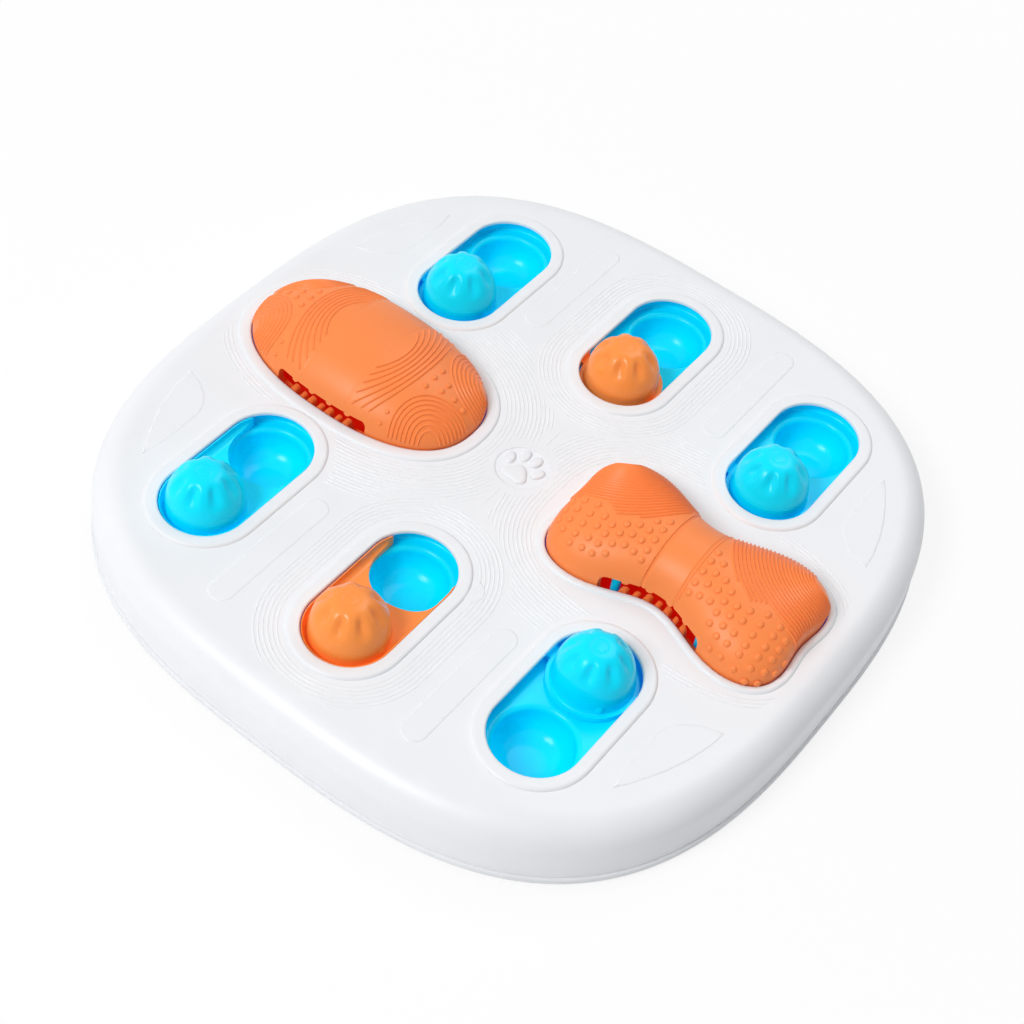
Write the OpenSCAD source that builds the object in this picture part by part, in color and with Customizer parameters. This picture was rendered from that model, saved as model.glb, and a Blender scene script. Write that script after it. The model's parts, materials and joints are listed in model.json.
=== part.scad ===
// Puzzle slow feeder board: a rounded square body with six food slots and two nests.
// Four slots have sliding knobs, two have lift-out lids, and the nests hold two rubber treat toys.
// X runs along the two toys, Y along the slots, Z up. The origin is on the floor, under the middle.

/* [Board] */
// Overall width and depth, measured at the lip of the base
board_w = 300; // [294:1:330]
// Height of the main top surface above the floor
board_h = 30; // [30:0.5:38]
// Squareness of the outline: 2 is a circle, higher is squarer
outline_n = 2.9; // [2.8:0.1:3.6]
// Radius of the rounded shoulder
shoulder_r = 11; // [8:0.5:12]
// Wall thickness of the cover
cover_t = 2.2; // [2:0.1:2.6]
// Height of the raised rims round the openings
rim_h = 1; // [0.8:0.1:1.4]
// Width of the raised rims round the slots and the oval
rim_w = 5.4; // [4.6:0.1:6]
// Width of the raised rim round the bone
bone_rim_w = 3.2; // [2.4:0.1:5]
// Thickness of the cover's lip over a tray or nest, rim included
lip_t = 1.4; // [1.2:0.1:2]
// Floor thickness of the base pan
base_t = 3; // [2.6:0.1:4]
// How far the base lip stands out from the cover's wall
base_step = 1; // [0.5:0.1:1.5]
// Height of the base pan's upstand inside the cover
upstand_h = 6; // [4:0.5:9]

/* [Slots] */
// Width of a slot
slot_w = 36; // [34:0.5:38]
// Distance a knob slides from one end of its slot to the other
slot_travel = 34.8; // [33:0.2:36]
// Distance of the outer slots and the toys from the middle, along X
column_x = 78.8; // [78:0.2:82]
// Distance of the outer slots from the middle, along Y
outer_y = 77.6; // [77:0.2:81]
// Distance of the middle slots from the middle, along Y
middle_y = 86.2; // [80:0.2:90]

/* [Trays] */
// Depth of a tray's ledge below the rims
ledge_depth = 7; // [6.5:0.1:8]
// How far a tray's channel reaches under the lip
channel_under = 2.6; // [2.2:0.1:3]
// Wall thickness of the trays and nests
tray_t = 1.6; // [1.2:0.1:2]
// Diameter of a food cup
cup_d = 30; // [27:0.5:31]
// Depth of a food cup below the ledge
cup_depth = 13; // [9:0.5:14]
// Radius between the wall and the floor of a cup
cup_r = 7; // [4:0.5:9]

/* [Knobs and lids] */
// Thickness of a sliding plate or lid
plate_t = 2.2; // [2:0.1:2.6]
// Diameter of a knob at its foot
knob_d = 30.6; // [28:0.2:31.4]
// Height of a knob above its plate
knob_h = 20.4; // [18:0.2:23]
// Height of a knob's straight foot
knob_foot_h = 3.2; // [2:0.1:4]
// Diameter of a knob's shoulder, at the edge of its top
knob_crown_d = 16.8; // [15:0.2:19]
// Diameter of the flat on top of a knob
knob_flat_d = 11; // [9:0.2:13]
// Skin of a knob
knob_t = 2.4; // [2:0.1:3]
// Number of scoops round a knob
scoops = 8; // [6:1:9]
// Depth of a scoop
scoop_depth = 1.2; // [0.6:0.1:1.4]
// Length of a sliding plate's guide tabs
tab_l = 6; // [4:0.5:6.5]
// Thickness of the upright edge of a lid
edge_t = 1.2; // [1:0.1:1.5]
// How far the upright edge of a lid ends below the rims
edge_sink = 1.8; // [0.4:0.1:2.4]

/* [Toys] */
// Length of the oval opening
oval_l = 107.4; // [104:0.2:108]
// Width of the oval opening
oval_w = 62.6; // [58:0.2:63]
// Squareness of the oval
oval_n = 2.4; // [2.2:0.1:2.6]
// Length of the bone opening
bone_l = 106; // [104:0.2:108]
// Width across the bone's lobes, before the ends are rounded
bone_w = 65; // [62:0.2:66]
// Depth of the bone's waist on each side
bone_waist = 12; // [9:0.5:13]
// Length of the waist's curve
waist_l = 23; // [20:0.5:26]
// Squareness of the bone's ends
bone_n = 4.5; // [4:0.1:5]
// Depth of the hollow in the middle of the bone's ends
bone_dent = 1.7; // [0:0.1:2.2]
// Half-width of that hollow
dent_w = 10; // [8:0.5:12]
// Height of the toys above the rims
toy_h = 20; // [18:0.2:22]
// How much lower the bone's lobes are than its waist, at its ends
lobe_drop = 3; // [1:0.2:4]
// Depth of the toys below the rims
toy_depth = 17.7; // [16:0.1:18]
// Skin of a toy
toy_t = 2.6; // [2.2:0.1:3.2]
// Length of the treat slit
slit_l = 45; // [40:0.5:48]
// Top of the slit above the rims
slit_up = 5.8; // [5:0.1:6.5]
// Bottom of the slit below the rims
slit_down = 6; // [5:0.1:7]
// Radius of the slit's teeth
tooth_r = 2.1; // [1.6:0.1:2.4]

/* [Surface] */
// Diameter of the sunk paw disc
paw_d = 21.6; // [18:0.2:24]
// Depth of the paw disc
paw_sink = 0.7; // [0.4:0.1:0.9]
// Length of the raised bars
bar_l = 62; // [50:0.5:66]
// Width of the raised bars
bar_w = 10.6; // [8:0.2:12]
// Height of the raised bars
bar_h = 0.4; // [0.3:0.1:0.6]

/* [Fits and fasteners] */
// Running gap round moving pieces
gap = 0.3; // [0.25:0.05:0.4]
// Gap between a toy and its opening
toy_gap = 0.7; // [0.6:0.05:1]
// Gap round a fixed insert
seat_gap = 0.2; // [0.1:0.05:0.3]
// Shank diameter of the tray and base screws
screw_d = 2.8; // [2.4:0.1:3]
// Shank diameter of the knob screws
knob_screw_d = 2.4; // [2:0.1:2.8]
// Diameter of the rubber feet
foot_d = 16; // [12:0.5:20]
// How far the feet stand below the base pan
foot_drop = 1; // [0.8:0.1:1.5]
// Depth of the feet in their seats
foot_seat = 1.2; // [0.8:0.1:1.4]

/* [Hidden] */
$fn = 48;

white = "#f2f4f7";
blue = "#08c6f4";
orange = "#ff8238";
rubber_orange = "#fa9260";
steel = "#a9adb2";
rubber_grey = "#5b5f66";

// Each slot: its name, its column and row, and the end at which its knob rests
BACK_LEFT = ["back_left", -1, 1, -1];
BACK_MIDDLE = ["back_middle", 0, 1, -1];
BACK_RIGHT = ["back_right", 1, 1, -1];
FRONT_LEFT = ["front_left", -1, -1, -1];
FRONT_MIDDLE = ["front_middle", 0, -1, -1];
FRONT_RIGHT = ["front_right", 1, -1, 1];
SLOTS = [BACK_LEFT, BACK_MIDDLE, BACK_RIGHT, FRONT_LEFT, FRONT_MIDDLE, FRONT_RIGHT];
SLIDING = [BACK_LEFT, BACK_MIDDLE, BACK_RIGHT, FRONT_RIGHT];
LIFTING = [FRONT_LEFT, FRONT_MIDDLE];

// Heights above the floor
rim_z = board_h + rim_h;
under_z = board_h - cover_t;
lip_z = rim_z - lip_t;
ledge_z = rim_z - ledge_depth;
plate_z = ledge_z + gap;
plate_top = plate_z + plate_t;
base_top = foot_drop + base_t;
nest_floor = rim_z - toy_depth - gap;

// Outline of the cover's wall, and how finely it is drawn
outline_pts = 72;
cover_s = board_w / 2 - base_step;
shoulder_steps = 6;

// Slots and trays
slot_r = slot_w / 2;
channel_r = slot_r + channel_under;
tray_r = channel_r + tray_t;
ear_r = 4;
ear_x = tray_r + ear_r;
plate_r = slot_r - 2 * gap;
cup_rad = cup_d / 2;

// Nests: how far the pocket and its outer wall stand outside the opening
pocket_grow = 0.8;
nest_grow = pocket_grow + tray_t;
ear_reach = nest_grow + ear_r;

// Knobs
knob_r = knob_d / 2;
crown_r = knob_crown_d / 2;
crown_h = 1.5;
flank_h = knob_h - knob_foot_h - crown_h;
flank_x = (crown_r * crown_r + flank_h * flank_h - knob_r * knob_r) / (2 * (crown_r - knob_r));
flank_r = knob_r - flank_x;
scoop_r = 2.6;
scoop_l = 7;
scoop_tilt = 45;
knob_boss_r = 3.4;
knob_screw_l = 9;
knob_head_r = 2.8;
knob_head_h = 1.1;

// Screws
head_r = screw_d;
head_h = 1.8;
boss_r = screw_d / 2 + 2.2;
tray_screw_l = 5.4;
base_screw_l = 13;
base_boss_r = 4.2;
base_pad_r = 6;
base_pad_h = 1.5;
head_sink = 2.2;
thread_gap = 0.1;
hole_gap = 0.3;

// Places of the base screws and the feet, from the middle of the board
SCREW_SPOTS = [for (x = [-1, 1], y = [-1, 1], far = [0, 1])
    far == 1 ? [x * board_w * 0.38, y * board_w * 0.333] : [x * column_x / 2, y * outer_y * 0.57]];
FOOT_SPOTS = [for (x = [-1, 1], y = [-1, 1]) [x, y] * board_w * 0.333];

// Centre of a slot, and of the knob that rests in it
function slot_centre(s) = [s[1] * column_x, s[2] * (s[1] == 0 ? middle_y : outer_y)];
function knob_centre(s) = slot_centre(s) + [0, s[3] * slot_travel / 2];

// Point at angle a on a rounded square of squareness n, from -1 to 1 each way
function rounded(a, n) = [cos(a), sin(a)] / pow(pow(abs(cos(a)), n) + pow(abs(sin(a)), n), 1 / n);

// Ring of the board's outline at half-width s
function squircle(s) = [for (i = [0 : outline_pts - 1]) s * rounded(360 * i / outline_pts, outline_n)];

// Bone, at u from -1 to 1 along it: depth of its waist, and how far its end is drawn in on the centre line
dent_fall = 8;
function waist(u) = bone_waist * exp(-pow(u * bone_l / 2 / waist_l, 2));
function end_dent(u) = sign(u) * bone_dent * pow(abs(u), dent_fall);

// Share of that hollow at y off the centre line
function dent_share(y) = exp(-pow(y / dent_w, 2));

// Plan outlines of the openings, grown by g
plan_pts = 84;
function oval_plan(g) = [for (i = [0 : plan_pts - 1])
    let (p = rounded(360 * i / plan_pts, oval_n))
    [p[0] * (oval_l / 2 + g), p[1] * (oval_w / 2 + g)]];
function bone_plan(g) = [for (i = [0 : plan_pts - 1])
    let (p = rounded(360 * i / plan_pts, bone_n))
    let (y = p[1] * (bone_w / 2 + g - waist(p[0])))
    [p[0] * (bone_l / 2 + g) - end_dent(p[0]) * dent_share(y), y]];

// Cross-sections of a toy along its length: place, half-width, half-height and the depth of its hollow
toy_steps = 28;
function oval_sections(g) = [for (i = [0 : toy_steps])
    let (u = -cos(180 * i / toy_steps))
    let (k = pow(max(0, 1 - pow(abs(u), oval_n)), 1 / oval_n))
    [u * (oval_l / 2 + g), k * (oval_w / 2 + g), sqrt(max(0, 1 - u * u)) * (toy_h + g), 0]];
function bone_sections(g) = [for (i = [0 : toy_steps])
    let (p = rounded(180 - 180 * i / toy_steps, bone_n))
    let (u = p[0], high = toy_h + g - lobe_drop * u * u)
    [u * (bone_l / 2 + g), p[1] * (bone_w / 2 + g - waist(u)), p[1] * high, end_dent(u)]];

// Round-ended slot shape along Y
module stadium(r, run) {
    translate([0, run / 2])
        circle(r);
    translate([0, -run / 2])
        circle(r);
    square([2 * r, run], center = true);
}

// Wall and shoulder of the cover: a profile of [half-width, height] swept round the outline
module outline_sweep(profile) {
    rows = len(profile);
    points = [for (p = profile, q = squircle(p[0])) [q[0], q[1], p[1]]];
    faces = [for (j = [0 : rows - 1], i = [0 : outline_pts - 1])
        let (j2 = (j + 1) % rows, i2 = (i + 1) % outline_pts)
        [j * outline_pts + i, j2 * outline_pts + i, j2 * outline_pts + i2, j * outline_pts + i2]];
    polyhedron(points, faces);
}

// Closed body through elliptical cross-sections, pointed at both ends
module loft(sections) {
    ring = 28;
    last = len(sections) - 1;
    points = concat(
        [[sections[0][0] - sections[0][3], 0, 0]],
        [for (i = [1 : last - 1], t = [0 : ring - 1])
            let (s = sections[i], y = s[1] * cos(360 * t / ring), z = s[2] * sin(360 * t / ring))
            [s[0] - s[3] * dent_share(y), y, z]],
        [[sections[last][0] - sections[last][3], 0, 0]]);
    tip = len(points) - 1;
    faces = concat(
        [for (t = [0 : ring - 1]) [0, 1 + t, 1 + (t + 1) % ring]],
        [for (i = [0 : last - 3], t = [0 : ring - 1])
            let (a = 1 + i * ring + t, b = 1 + i * ring + (t + 1) % ring)
            [a, a + ring, b + ring]],
        [for (i = [0 : last - 3], t = [0 : ring - 1])
            let (a = 1 + i * ring + t, b = 1 + i * ring + (t + 1) % ring)
            [a, b + ring, b]],
        [for (t = [0 : ring - 1])
            let (a = 1 + (last - 2) * ring)
            [a + t, tip, a + (t + 1) % ring]]);
    polyhedron(points, faces);
}

// Screw with its head below and its tip up; the head seats at z = 0
module screw(d, head_r, head_h, length) {
    translate([0, 0, -head_h])
        cylinder(r = head_r, h = head_h);
    cylinder(d = d, h = length);
}

// Places of all tray and nest screws
function ear_spots(s) = [for (side = [-1, 1]) slot_centre(s) + [side * ear_x, 0]];
function nest_spots(x, l) = [for (side = [-1, 1]) [x + side * (l / 2 + ear_reach), 0]];
EAR_SPOTS = concat([for (s = SLOTS) each ear_spots(s)],
    nest_spots(-column_x, oval_l), nest_spots(column_x, bone_l));

module cover_shell() {
    inner_r = shoulder_r - cover_t;
    turn_s = cover_s - shoulder_r;
    turn_z = board_h - shoulder_r;
    outer = [for (i = [0 : shoulder_steps])
        let (a = 90 * i / shoulder_steps)
        [turn_s + shoulder_r * cos(a), turn_z + shoulder_r * sin(a)]];
    inner = [for (i = [0 : shoulder_steps])
        let (a = 90 - 90 * i / shoulder_steps)
        [turn_s + inner_r * cos(a), turn_z + inner_r * sin(a)]];
    outline_sweep(concat([[cover_s, base_top]], outer, inner, [[cover_s - cover_t, base_top]]));
    translate([0, 0, under_z])
        linear_extrude(cover_t)
            polygon(squircle(turn_s));
}

// Raised rims round all openings, filled across
module rims() {
    for (s = SLOTS)
        translate(slot_centre(s))
            stadium(slot_r + rim_w, slot_travel);
    translate([-column_x, 0])
        polygon(oval_plan(rim_w));
    translate([column_x, 0])
        polygon(bone_plan(bone_rim_w));
}

// Everything that the openings take away, grown by g
module openings(g) {
    for (s = SLOTS)
        translate(slot_centre(s))
            stadium(slot_r + g, slot_travel);
    translate([-column_x, 0])
        polygon(oval_plan(g));
    translate([column_x, 0])
        polygon(bone_plan(g));
}

// Recess under the lip that a tray or nest sits in
module insert_seats() {
    for (s = SLOTS)
        translate(slot_centre(s))
            stadium(tray_r + seat_gap, slot_travel);
    translate([-column_x, 0])
        polygon(oval_plan(nest_grow + seat_gap));
    translate([column_x, 0])
        polygon(bone_plan(nest_grow + seat_gap));
}

module paw() {
    pad = paw_d * 0.17;
    toe = paw_d * 0.085;
    translate([0, -paw_d * 0.14])
        circle(pad);
    for (side = [-1, 1]) {
        translate([side * paw_d * 0.1, -paw_d * 0.2])
            circle(pad * 0.7);
        translate([side * paw_d * 0.29, paw_d * 0.06])
            circle(toe);
        translate([side * paw_d * 0.12, paw_d * 0.25])
            circle(toe);
    }
}

module top_cover() {
    join = 0.5;
    pilot_r = screw_d / 2 + thread_gap;
    color(white) {
        difference() {
            union() {
                cover_shell();
                translate([0, 0, under_z])
                    linear_extrude(cover_t + rim_h)
                        rims();
                for (x = [-1, 1], y = [-1, 1])
                    translate([x * (column_x - ear_x) * 0.865, y * outer_y * 1.24, board_h - join])
                        linear_extrude(join + bar_h)
                            stadium(bar_w / 2, bar_l - bar_w);
                for (p = EAR_SPOTS)
                    translate([p[0], p[1], ledge_z])
                        cylinder(r = boss_r, h = under_z + join - ledge_z);
                for (p = SCREW_SPOTS)
                    translate([p[0], p[1], base_top + base_pad_h])
                        cylinder(r = base_boss_r, h = under_z + join - base_top - base_pad_h);
            }
            translate([0, 0, base_top])
                linear_extrude(board_h)
                    openings(0);
            translate([0, 0, base_top])
                linear_extrude(lip_z - base_top)
                    insert_seats();
            for (p = EAR_SPOTS)
                translate([p[0], p[1], ledge_z - join])
                    cylinder(r = pilot_r, h = tray_screw_l - tray_t + join);
            for (p = SCREW_SPOTS)
                translate([p[0], p[1], base_top])
                    cylinder(r = pilot_r, h = base_screw_l);
            translate([0, 0, board_h - paw_sink])
                cylinder(d = paw_d, h = paw_sink + join);
        }
        translate([0, 0, board_h - paw_sink])
            linear_extrude(paw_sink)
                paw();
    }
}

module base_pan() {
    upstand_s = cover_s - cover_t - gap;
    color(white)
        difference() {
            union() {
                translate([0, 0, foot_drop])
                    linear_extrude(base_t)
                        polygon(squircle(board_w / 2));
                translate([0, 0, foot_drop])
                    linear_extrude(base_t + upstand_h)
                        difference() {
                            polygon(squircle(upstand_s));
                            polygon(squircle(upstand_s - cover_t));
                        }
                for (p = SCREW_SPOTS)
                    translate([p[0], p[1], foot_drop])
                        cylinder(r = base_pad_r, h = base_t + base_pad_h);
            }
            for (p = SCREW_SPOTS)
                translate([p[0], p[1], 0]) {
                    cylinder(r = head_r + hole_gap, h = foot_drop + head_sink);
                    cylinder(d = screw_d + 2 * hole_gap, h = board_h / 2);
                }
            for (p = FOOT_SPOTS)
                translate([p[0], p[1], 0])
                    cylinder(d = foot_d + 2 * seat_gap, h = foot_drop + foot_seat);
        }
}

module rubber_feet() {
    color(rubber_grey)
        for (p = FOOT_SPOTS)
            translate([p[0], p[1], 0])
                cylinder(d = foot_d, h = foot_drop + foot_seat);
}

module base_screws() {
    color(steel)
        for (p = SCREW_SPOTS)
            translate([p[0], p[1], foot_drop + head_sink])
                screw(screw_d, head_r, head_h, base_screw_l - head_sink);
}

module tray_screws() {
    color(steel)
        for (p = EAR_SPOTS)
            translate([p[0], p[1], ledge_z - tray_t])
                screw(screw_d, head_r, head_h, tray_screw_l);
}

// Ear with a screw hole; its arm reaches back along X and goes root deep into the wall that carries it
module ear(root) {
    translate([0, 0, -tray_t])
        difference() {
            union() {
                translate([-ear_r - root, -ear_r, 0])
                    cube([ear_r + root, 2 * ear_r, tray_t]);
                cylinder(r = ear_r, h = tray_t);
            }
            translate([0, 0, -tray_t])
                cylinder(d = screw_d + 2 * hole_gap, h = 3 * tray_t);
        }
}

// Profile of a cup, from its axis outwards, with its mouth at z = 0
module cup_profile(r, depth, round_r) {
    translate([0, -depth])
        square([r - round_r, depth]);
    translate([0, round_r - depth])
        square([r, depth - round_r]);
    intersection() {
        translate([r - round_r, round_r - depth])
            circle(round_r);
        translate([0, -depth])
            square([r, depth]);
    }
}

module tray(s) {
    floor_z = ledge_z - tray_t;
    cup_lip = 1;
    color(blue)
        translate(slot_centre(s)) {
            difference() {
                union() {
                    translate([0, 0, floor_z])
                        linear_extrude(lip_z - floor_z)
                            stadium(tray_r, slot_travel);
                    for (end = [-1, 1])
                        translate([0, end * slot_travel / 2, ledge_z])
                            rotate_extrude()
                                cup_profile(cup_rad + tray_t, cup_depth + tray_t, cup_r + tray_t);
                }
                translate([0, 0, ledge_z])
                    linear_extrude(ledge_depth)
                        stadium(channel_r, slot_travel);
                for (end = [-1, 1])
                    translate([0, end * slot_travel / 2, ledge_z])
                        rotate_extrude() {
                            cup_profile(cup_rad, cup_depth, cup_r);
                            square([cup_rad, cup_lip]);
                        }
            }
            for (side = [0, 180])
                rotate([0, 0, side])
                    translate([ear_x, 0, ledge_z])
                        ear(tray_t / 2);
        }
}

// Pocket for a toy, from the plan outlines of its hollow and of its outside; its ends may be drawn in
module nest(x, hollow, outside, length, drawn_in) {
    color(blue)
        translate([x, 0, 0]) {
            difference() {
                translate([0, 0, nest_floor - tray_t])
                    linear_extrude(lip_z - nest_floor + tray_t)
                        polygon(outside);
                translate([0, 0, nest_floor])
                    linear_extrude(rim_z)
                        polygon(hollow);
            }
            for (side = [0, 180])
                rotate([0, 0, side])
                    translate([length / 2 + ear_reach, 0, ledge_z])
                        ear(tray_t / 2 + drawn_in);
        }
}

module oval_nest() {
    nest(-column_x, oval_plan(pocket_grow), oval_plan(nest_grow), oval_l, 0);
}

module bone_nest() {
    nest(column_x, bone_plan(pocket_grow), bone_plan(nest_grow), bone_l, bone_dent);
}

// Hole and head seat for a knob's screw, cut up into a plate
module knob_screw_cut() {
    translate([0, 0, -plate_t])
        cylinder(d = knob_screw_d + 2 * hole_gap, h = 3 * plate_t);
    translate([0, 0, -plate_t])
        cylinder(r = knob_head_r + hole_gap, h = plate_t + knob_head_h);
}

module runner(s) {
    tab_in = slot_r + gap;
    tab_out = sqrt(pow(channel_r - gap, 2) - tab_l * tab_l / 4);
    tab_h = lip_z - gap - plate_z;
    color(s[1] == 0 ? orange : blue)
        translate([knob_centre(s)[0], knob_centre(s)[1], plate_z])
            difference() {
                union() {
                    cylinder(r = plate_r, h = plate_t);
                    translate([-tab_out, -tab_l / 2, 0])
                        cube([2 * tab_out, tab_l, plate_t]);
                    for (side = [-1, 1])
                        translate([side * (tab_in + tab_out) / 2, 0, tab_h / 2])
                            cube([tab_out - tab_in, tab_l, tab_h], center = true);
                }
                knob_screw_cut();
            }
}

// Plan of a lid with its notch round the open cup, drawn at radius r
module lid_plan(s, r) {
    notch_r = cup_rad + gap;
    away = -s[3] * slot_travel / 2;
    difference() {
        stadium(r, slot_travel);
        translate([0, away])
            circle(notch_r);
        translate([-notch_r, away > 0 ? away : away - slot_w])
            square([2 * notch_r, slot_w]);
    }
}

module lid(s) {
    color(s[1] == 0 ? orange : blue)
        translate([slot_centre(s)[0], slot_centre(s)[1], plate_z])
            difference() {
                union() {
                    linear_extrude(plate_t)
                        lid_plan(s, plate_r);
                    linear_extrude(rim_z - edge_sink - plate_z)
                        difference() {
                            lid_plan(s, plate_r);
                            stadium(plate_r - edge_t, slot_travel);
                        }
                }
                translate([0, s[3] * slot_travel / 2, 0])
                    knob_screw_cut();
            }
}

// Half of a knob's outline, cut back by t, with its foot at z = 0
module knob_profile(t) {
    square([knob_r - t, knob_foot_h]);
    translate([0, knob_foot_h])
        intersection() {
            translate([flank_x, 0])
                circle(flank_r - t);
            square([knob_r, flank_h - t]);
        }
}

module knob(s) {
    mid_h = flank_h * 0.78;
    mid_r = flank_x + sqrt(flank_r * flank_r - mid_h * mid_h);
    out = scoop_r - scoop_depth;
    color(s[1] == 0 ? orange : blue)
        translate([knob_centre(s)[0], knob_centre(s)[1], plate_top])
            difference() {
                union() {
                    difference() {
                        union() {
                            rotate_extrude()
                                knob_profile(0);
                            translate([0, 0, knob_foot_h + flank_h])
                                cylinder(r1 = crown_r, r2 = knob_flat_d / 2, h = crown_h);
                        }
                        translate([0, 0, -knob_t])
                            cylinder(r = knob_r - knob_t, h = 2 * knob_t);
                        rotate_extrude()
                            knob_profile(knob_t);
                        for (i = [1 : scoops])
                            rotate([0, 0, 360 * i / scoops])
                                translate([mid_r, 0, knob_foot_h + mid_h])
                                    rotate([0, -scoop_tilt, 0])
                                        translate([out, 0, 0])
                                            scoop();
                    }
                    cylinder(r = knob_boss_r, h = knob_foot_h + flank_h - knob_t / 2);
                }
                translate([0, 0, -knob_foot_h])
                    cylinder(d = knob_screw_d + 2 * thread_gap, h = knob_foot_h + knob_screw_l);
            }
}

// Round-ended cutter for one scoop
module scoop() {
    cylinder(r = scoop_r, h = scoop_l, center = true);
    for (end = [-1, 1])
        translate([0, 0, end * scoop_l / 2])
            sphere(scoop_r);
}

module knob_screw(s) {
    color(steel)
        translate([knob_centre(s)[0], knob_centre(s)[1], plate_z + knob_head_h])
            screw(knob_screw_d, knob_head_r, knob_head_h, knob_screw_l);
}

// Slit in the front of a toy, with teeth from both edges, drawn in X and Z about the rims
module slit_shape() {
    corner = 2.5;
    pitch = slit_l / 5;
    difference() {
        union() {
            translate([-slit_l / 2, -slit_down])
                square([slit_l, slit_down + slit_up - corner]);
            translate([corner - slit_l / 2, 0])
                square([slit_l - 2 * corner, slit_up]);
            for (side = [-1, 1])
                translate([side * (slit_l / 2 - corner), slit_up - corner])
                    circle(corner);
        }
        for (i = [-1.5 : 1 : 1.5]) {
            translate([i * pitch, slit_up + tooth_r / 3])
                circle(tooth_r);
            translate([i * pitch, -slit_down])
                circle(tooth_r);
            translate([i * pitch - tooth_r, -slit_down - tooth_r])
                square([2 * tooth_r, tooth_r]);
        }
    }
}

// Hollow toy between two heights about the rims, with its slit cut through the front wall
module toy_half(x, outside, hollow, low, high) {
    reach = board_w;
    translate([x, 0, rim_z])
        difference() {
            intersection() {
                loft(outside);
                translate([-reach / 2, -reach / 2, low])
                    cube([reach, reach, high - low]);
            }
            intersection() {
                loft(hollow);
                translate([-reach / 2, -reach / 2, toy_t - toy_depth])
                    cube([reach, reach, reach]);
            }
            rotate([90, 0, 0])
                linear_extrude(reach)
                    slit_shape();
        }
}

part_low = -2;

module oval_upper() {
    color(rubber_orange)
        toy_half(-column_x, oval_sections(-toy_gap), oval_sections(-toy_gap - toy_t), part_low, board_w);
}

module oval_lower() {
    color(rubber_orange)
        toy_half(-column_x, oval_sections(-toy_gap), oval_sections(-toy_gap - toy_t), -toy_depth, part_low);
}

module bone_upper() {
    color(rubber_orange)
        toy_half(column_x, bone_sections(-toy_gap), bone_sections(-toy_gap - toy_t), part_low, board_w);
}

module bone_lower() {
    color(rubber_orange)
        toy_half(column_x, bone_sections(-toy_gap), bone_sections(-toy_gap - toy_t), -toy_depth, part_low);
}

top_cover();
base_pan();
rubber_feet();
base_screws();
tray_screws();
oval_nest();
bone_nest();
oval_upper();
oval_lower();
bone_upper();
bone_lower();
for (s = SLOTS) {
    tray(s);
    knob(s);
    knob_screw(s);
}
for (s = SLIDING)
    runner(s);
for (s = LIFTING)
    lid(s);
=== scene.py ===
# %% [markdown]
# # A puzzle slow feeder board, dressed in Blender
# The board comes from a CAD model, which is loaded here as a fixed frame. Its bodies already move:
# four knobs slide, two lids and two rubber toys lift out. This lesson adds the looks: a finely
# moulded white cover, glossy cups and knobs, and two textured rubber toys.

# %% Load the frame
import json
import math

import bmesh
import bpy
import numpy as np
from mathutils import Matrix, Vector
from mathutils.geometry import tessellate_polygon


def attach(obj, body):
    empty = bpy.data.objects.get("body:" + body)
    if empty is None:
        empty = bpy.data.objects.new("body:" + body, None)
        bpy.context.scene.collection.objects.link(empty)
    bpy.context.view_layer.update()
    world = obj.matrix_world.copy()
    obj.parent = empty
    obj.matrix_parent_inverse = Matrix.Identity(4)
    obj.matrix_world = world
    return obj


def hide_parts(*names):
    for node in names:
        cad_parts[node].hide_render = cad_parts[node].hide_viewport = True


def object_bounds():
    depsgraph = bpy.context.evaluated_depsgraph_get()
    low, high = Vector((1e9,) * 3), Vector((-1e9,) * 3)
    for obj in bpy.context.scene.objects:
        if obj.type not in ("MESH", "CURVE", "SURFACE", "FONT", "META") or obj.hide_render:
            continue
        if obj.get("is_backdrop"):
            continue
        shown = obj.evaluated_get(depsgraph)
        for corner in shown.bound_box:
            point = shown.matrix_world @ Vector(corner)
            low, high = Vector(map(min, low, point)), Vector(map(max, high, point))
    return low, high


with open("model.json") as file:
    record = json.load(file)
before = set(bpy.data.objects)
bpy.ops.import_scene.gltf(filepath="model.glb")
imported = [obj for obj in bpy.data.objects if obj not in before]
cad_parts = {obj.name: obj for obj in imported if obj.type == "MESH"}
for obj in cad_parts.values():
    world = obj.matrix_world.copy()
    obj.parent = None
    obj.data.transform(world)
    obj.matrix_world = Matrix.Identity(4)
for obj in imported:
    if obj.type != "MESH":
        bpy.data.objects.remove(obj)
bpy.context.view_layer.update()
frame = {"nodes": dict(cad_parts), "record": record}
nodes = frame["nodes"]
MM = 0.001

# %% [markdown]
# ## Camera
# The photograph looks down at the board from about 50 degrees, turned 30 degrees to the right and
# rolled a little. The camera was worked out from the round ends of the slots, whose places on the
# board are known, so the picture and the model line up.

# %% Camera
AIM, DISTANCE = (11.331, -21.375, 31.0), 724.99  # the point in the middle of the picture, and how far it is
turn, rise, roll = (math.radians(a) for a in (29.9565, 50.1744, 9.7616))
back = Vector((math.sin(turn) * math.cos(rise), -math.cos(turn) * math.cos(rise), math.sin(rise)))
flat_right = Vector((math.cos(turn), math.sin(turn), 0))
flat_up = back.cross(flat_right)
view_right = flat_right * math.cos(roll) + flat_up * math.sin(roll)
view_up = flat_up * math.cos(roll) - flat_right * math.sin(roll)
place = Matrix((view_right, view_up, back)).transposed().to_4x4()
place.translation = (Vector(AIM) + back * DISTANCE) * MM

lens = bpy.data.cameras.new("photo_camera")
lens.sensor_width, lens.lens = 36.0, 66.40
camera = bpy.data.objects.new("photo_camera", lens)
bpy.context.scene.collection.objects.link(camera)
camera.matrix_world = place
bpy.context.scene.camera = camera
bpy.context.scene.view_settings.view_transform = "Standard"
print("camera in mm:", [round(x / MM) for x in camera.matrix_world.translation])

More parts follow.
